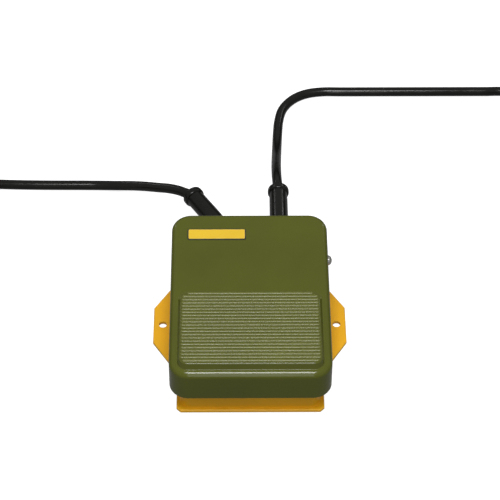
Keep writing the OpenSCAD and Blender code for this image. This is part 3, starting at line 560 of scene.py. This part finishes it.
def plateForm(middle, half, corner, low, high, edge):
    rings = []
    for inset, height in ((0, low), (0, high - edge), (edge * 0.3, high - edge * 0.3), (edge, high)):
        line = outline(half[0] - inset, -half[1] + inset, half[1] - inset, corner - inset, steps=6)
        rings.append([(middle[0] + x, middle[1] + y, coverTop(middle[1] + y) + height)
                      for x, y in line])
    return skin(rings)


cover = finishedPiece("pedalCover", coverBody(coverSettings), "pedal")
ribMesh = newMesh("padRibs", *padRibs(ribSettings), ("rib",))
ribs = finishedPiece("padRibs", ribMesh, "pedal", 60)
postMesh = newMesh("coverPosts", *coverPosts(postSettings), ("cover",))
finishedPiece("coverPosts", postMesh, "pedal")
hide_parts("pedal_cover")
for side, name in ((-1, "return_spring_left"), (1, "return_spring_right")):
    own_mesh(nodes[name])
rim = plateForm(plateSettings["middle"], **plateSettings["rim"])
finishedPiece("plateEdge", newMesh("plateEdge", *rim, ("plateEdge",)), "pedal")
face = plateForm(plateSettings["middle"], **plateSettings["face"])
finishedPiece("namePlate", newMesh("namePlate", *face, ("plate",)), "pedal")
print("cover made:", len(cover.data.polygons), "faces,", len(ribs.data.polygons), "rib faces")


bootSettings = {
    "x": 21.5, "z": 22, "start": 59.1, "lead": 25.5, "radius": 30, "bend": 32, "length": 70.9,
    "bore": 3.47, "step": 1.6, "boreSteps": 44, "sides": 40,
    "form": (  # mm along the boot, and its radius there
        (0, 7.55), (1.75, 7.55), (1.75, 5.95), (4.35, 5.95), (4.35, 7.55), (6.1, 7.55),
        (6.1, 6.7), (65.6, 6.55), (65.8, 7.0), (66.2, 7.4), (66.9, 7.65), (69.4, 7.65),
        (70.1, 7.5), (70.6, 7.1), (70.9, 6.5), (70.9, 4.7), (70.4, 4.1), (69.4, 3.8)),
}


def bootPlace(s, along, side):  # point and direction on the boot's middle line
    if side > 0 or along <= s["lead"]:
        return Vector((side * s["x"], s["start"] + along, s["z"])), Vector((0, 1, 0))
    turn = min((along - s["lead"]) / s["radius"], math.radians(s["bend"]))
    way = Vector((-math.sin(turn), math.cos(turn), 0))
    bent = Vector((-s["x"] - s["radius"] * (1 - math.cos(turn)),
                   s["start"] + s["lead"] + s["radius"] * math.sin(turn), s["z"]))
    return bent + way * (along - s["lead"] - turn * s["radius"]), way


def bootForm(s, side):
    stations = []
    for (a, ra), (b, rb) in zip(s["form"], s["form"][1:]):
        pieces = max(1, math.ceil((b - a) / s["step"]))
        stations += [(a + (b - a) * k / pieces, ra + (rb - ra) * k / pieces) for k in range(pieces)]
    stations.append(s["form"][-1])
    end, count = s["form"][-1][0], s["boreSteps"]
    stations += [(end * (1 - k / count), s["bore"]) for k in range(1, count + 1)]
    rings, up = [], Vector((0, 0, 1))
    for along, radius in stations:
        point, way = bootPlace(s, along, side)
        aside = way.cross(up)
        rings.append([tuple(point + radius * (math.cos(a) * aside + math.sin(a) * up))
                      for a in circle(s["sides"])])
    return skin(rings, around=True)


for word, side in (("Left", -1), ("Right", 1)):
    mesh = newMesh("boot" + word, *bootForm(bootSettings, side), ("rubber",))
    finishedPiece("boot" + word, mesh, "base", 40)
    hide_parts("boot_" + word.lower())


cordSettings = {  # the tails run inside the boots, the plug's sleeve and the socket's
    "diameter": 0.0072, "tail": 0.0068, "sleeve": 0.016, "splits": 5, "tailY": 40, "tailStep": 2,
}
mainsRoute = [
    (-0.041238, 0.12479, 0.022), (-0.0456, 0.1267, 0.0217), (-0.0511, 0.1308, 0.0205),
    (-0.0584, 0.1353, 0.0183), (-0.0666, 0.1397, 0.0152), (-0.0757, 0.1448, 0.0116),
    (-0.0859, 0.1493, 0.0081), (-0.0974, 0.1524, 0.0054), (-0.11, 0.1544, 0.0038),
    (-0.124, 0.1548, 0.0036), (-0.139, 0.1549, 0.0036), (-0.154, 0.1551, 0.0036),
    (-0.17, 0.1555, 0.0036), (-0.186, 0.1562, 0.0036), (-0.202, 0.157, 0.0036),
    (-0.216, 0.1577, 0.0036), (-0.23, 0.1581, 0.0036),
]
mainsEnd = [(-0.280, 0.097, 0.0180), (-0.280, 0.084, 0.0186), (-0.280, 0.071, 0.019)]
toolRoute = [
    (0.0215, 0.13, 0.022), (0.0207, 0.143, 0.0212), (0.0206, 0.157, 0.0174),
    (0.0209, 0.171, 0.0124), (0.0214, 0.185, 0.0075), (0.022, 0.199, 0.0044),
    (0.0227, 0.213, 0.0036), (0.0239, 0.227, 0.0036), (0.0271, 0.2405, 0.0036),
    (0.0346, 0.2516, 0.0036), (0.045, 0.2586, 0.0036), (0.058, 0.2614, 0.0036),
    (0.074, 0.2614, 0.0036), (0.09, 0.2614, 0.0036), (0.106, 0.2614, 0.0036),
    (0.122, 0.2614, 0.0036), (0.138, 0.2614, 0.0036), (0.154, 0.2614, 0.0036),
    (0.17, 0.2614, 0.0036), (0.186, 0.2614, 0.0036), (0.2, 0.2613, 0.0036),
    (0.212, 0.2568, 0.0036), (0.2213, 0.2485, 0.0036), (0.2272, 0.237, 0.0036),
    (0.229, 0.224, 0.0036), (0.229, 0.21, 0.0044), (0.229, 0.196, 0.008),
    (0.229, 0.181, 0.0135), (0.229, 0.166, 0.019), (0.229, 0.153, 0.0222),
    (0.229, 0.141, 0.023),
]
coilSettings = {
    "centre": (-0.242, 0.1092), "startAngle": 90, "stepAngle": 7.5,
    "winding": (  # turns, radius and layer; the layer changes with an easy start and end
        (0, 0.0512, 0), (3, 0.0296, 0), (3.5, 0.0296, 1),
        (6, 0.0512, 1), (6.5, 0.0512, 2), (7.25, 0.038, 2)),
    "tieAngle": 300, "tieLift": 0.0009, "tieSpread": 14,
}
tieSettings = {"width": 8, "thickness": 0.8, "clear": 0.1, "sides": 40}


def eased(t):
    t = min(max(t, 0), 1)
    return t * t * (3 - 2 * t)


def smoothLine(points, splits):  # through the points, with as many steps between each two
    points = [Vector(p) for p in points]
    ends = [points[0] * 2 - points[1], *points, points[-1] * 2 - points[-2]]
    line = []
    for a, b, c, d in zip(ends, ends[1:], ends[2:], ends[3:]):
        for k in range(splits):
            t = k / splits
            line.append(0.5 * (2 * b + (c - a) * t + (2 * a - 5 * b + 4 * c - d) * t ** 2
                               + (3 * b - a - 3 * c + d) * t ** 3))
    return line + [points[-1]]


def coilState(settings, turns):
    for (a, ra, la), (b, rb, lb) in zip(settings["winding"], settings["winding"][1:]):
        if turns <= b:
            part = (turns - a) / (b - a)
            return ra + (rb - ra) * part, la + (lb - la) * eased(part)
    return settings["winding"][-1][1:]


def coilLine(settings, diameter):
    line = []
    for k in range(round(settings["winding"][-1][0] * 360 / settings["stepAngle"]) + 1):
        turnedBy = k * settings["stepAngle"]
        radius, layer = coilState(settings, turnedBy / 360)
        angle = settings["startAngle"] + turnedBy
        off = (angle - settings["tieAngle"] + 180) % 360 - 180
        lift = settings["tieLift"] * math.exp(-(off / settings["tieSpread"]) ** 2)
        line.append(Vector((
            settings["centre"][0] + radius * math.cos(math.radians(angle)),
            settings["centre"][1] + radius * math.sin(math.radians(angle)),
            diameter * (layer + 0.5) + lift)))
    return line


def tieForm(coil, tie, diameter):  # a flat strap round all the turns that lie at the tie's angle
    at, up = math.radians(coil["tieAngle"]), Vector((0, 0, 1))
    outward = Vector((math.cos(at), math.sin(at), 0))
    along = Vector((-math.sin(at), math.cos(at), 0))
    places = []
    turns = (coil["tieAngle"] - coil["startAngle"]) / 360
    while turns <= coil["winding"][-1][0]:
        radius, layer = coilState(coil, turns)
        places.append((radius / mm, (diameter * (layer + 0.5) + coil["tieLift"]) / mm))
        turns += 1
    reach = diameter / 2 / mm + tie["clear"] + tie["thickness"] / 2
    ringPoints = [Vector((u + reach * math.cos(a), w + reach * math.sin(a)))
                  for u, w in places for a in circle(tie["sides"])]
    hull = [ringPoints[k] for k in geometry.convex_hull_2d(ringPoints)]
    middle = Vector((*coil["centre"], 0)) / mm
    rings = []
    for before, point, after in zip([hull[-1], *hull], hull, [*hull[1:], hull[0]]):
        way = (after - before).normalized()
        normal = Vector((way.y, -way.x)) * tie["thickness"] / 2
        ring = []
        for off, side in ((1, -1), (1, 1), (-1, 1), (-1, -1)):
            spot = point + normal * off
            ring.append(tuple(middle + outward * spot.x + along * side * tie["width"] / 2
                              + up * spot.y))
        rings.append(ring)
    return skin(rings, around=True)


def makeCord(name, line, diameter, slimEnd=None):
    curve = bpy.data.curves.new(name, "CURVE")
    curve.dimensions = "3D"
    curve.bevel_depth = diameter / 2
    curve.bevel_resolution = 6
    curve.use_fill_caps = True
    spline = curve.splines.new("POLY")
    spline.points.add(len(line) - 1)
    for point, at in zip(spline.points, line):
        point.co = (*at, 1)
        if slimEnd and (at - line[-1]).length < cordSettings["sleeve"]:
            point.radius = slimEnd / diameter
    curve.materials.append(finishes["sheath"])
    cord = bpy.data.objects.new(name, curve)
    bpy.context.scene.collection.objects.link(cord)
    return cord


def tailPoints(s, boot):  # the mains lead's stretch inside the left boot
    before = boot["start"] - s["tailY"]
    count = math.ceil((before + boot["length"]) / s["tailStep"]) + 1
    return [bootPlace(boot, min(k * s["tailStep"] - before, boot["length"]), -1)[0] * mm
            for k in range(count)]


diameter, tail, splits = (cordSettings[key] for key in ("diameter", "tail", "splits"))
coil = coilLine(coilSettings, diameter)
mainsLine = smoothLine([*mainsRoute, coil[0]], splits)[:-1] + coil[:-1]
mainsLine += smoothLine([coil[-1], *mainsEnd], splits)
mainsLead = makeCord("mainsLead", mainsLine, diameter, tail)
toolLead = makeCord("toolLead", smoothLine(toolRoute, splits), diameter, tail)
mainsTail = makeCord("mainsTail", tailPoints(cordSettings, bootSettings), tail)
for piece in (mainsLead, toolLead, mainsTail):
    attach(piece, "base")
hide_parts("mains_cord", "mains_coil")
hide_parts("tool_cord")
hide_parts("mains_cord_tail")
tieMesh = newMesh("coilTie", *tieForm(coilSettings, tieSettings, diameter), ("plug",))
tie = finishedPiece("coilTie", tieMesh, "base")
mainsLength = sum((b - a).length for a, b in zip(mainsLine, mainsLine[1:]))
print("cords laid: mains", round(mainsLength, 3), "m")


lightSettings = {
    "sky": 0.42, "below": 0.02, "skyAxis": (0, -0.30, 0.954), "skyEdge": (-0.05, 0.30),
    "lamps": {
        "overhead": {"at": (0.0, -0.50, 1.45), "aim": (0, 0, 0), "size": (0.5, 0.5), "power": 14.5},
        "front": {"at": (0.0, -1.19, 0.74), "aim": (0, 0, 0.03), "size": (0.26, 1.2), "power": 2.2},
        "left": {"at": (-0.75, 1.06, 0.75), "aim": (0, 0, 0.03), "size": (0.05, 0.4), "power": 0.45},
        "right": {"at": (0.75, 1.06, 0.75), "aim": (0, 0, 0.03), "size": (0.05, 0.4), "power": 0.45},
    },
    "floorCorners": ((-4, -4), (4, -4), (4, 8), (-4, 8)),  # metres
    "floorColour": (0.5, 0.5, 0.5), "floorGlow": 0.86, "bounce": 0.3, "bounceZ": -0.01,
}


def makePlane(name, corners, z, glow, colour, hiddenFrom):
    mesh = bpy.data.meshes.new(name)
    mesh.from_pydata([Vector((x, y, z)) for x, y in corners], [], [(0, 1, 2, 3)])
    plane = bpy.data.objects.new(name, mesh)
    bpy.context.scene.collection.objects.link(plane)
    finish = Finish(name, {"Roughness": 0.9, "Specular IOR Level": 0.0})
    finish.surfaceFrom(baseColor=(*colour, 1), emissionColor=(1, 1, 1, 1), emissionStrength=glow)
    mesh.materials.append(finish.material)
    for kind in hiddenFrom:
        setattr(plane, "visible_" + kind, False)


def makeLight(name, at, aim, size, power):
    data = bpy.data.lights.new(name, "AREA")
    data.shape = "RECTANGLE"
    data.size, data.size_y = size
    data.energy = power
    light = bpy.data.objects.new(name, data)
    light.location = at
    light.rotation_euler = (Vector(aim) - Vector(at)).to_track_quat("-Z", "Y").to_euler()
    bpy.context.scene.collection.objects.link(light)


def makeSky(settings):  # bright above and in front, dark below and low behind
    world = bpy.data.worlds.new("studio")
    sky = Shader(world)
    place = sky.node("ShaderNodeTexCoord", output="Generated")
    rise = sky.node("ShaderNodeVectorMath", {"operation": "DOT_PRODUCT"},
                    {0: place, 1: settings["skyAxis"]}, output=1)
    low, high = settings["skyEdge"]
    strength = sky.node("ShaderNodeMapRange", {}, {
        "Value": rise, "From Min": low, "From Max": high,
        "To Min": settings["below"], "To Max": settings["sky"]})
    background = sky.tree.nodes["Background"]
    sky.feed(background.inputs["Color"], (1, 1, 1, 1))
    sky.feed(background.inputs["Strength"], strength)
    return world


def makeStudio(s):
    scene = bpy.context.scene
    scene.world = makeSky(s)
    scene.view_settings.view_transform = "Standard"
    for name, lamp in s["lamps"].items():
        makeLight(name, **lamp)
    makePlane("floor", s["floorCorners"], 0, s["floorGlow"], s["floorColour"],
              ("diffuse", "glossy"))
    makePlane("bounce", s["floorCorners"], s["bounceZ"], s["bounce"], (0, 0, 0),
              ("camera", "diffuse", "shadow"))


makeStudio(lightSettings)
print("studio lit")
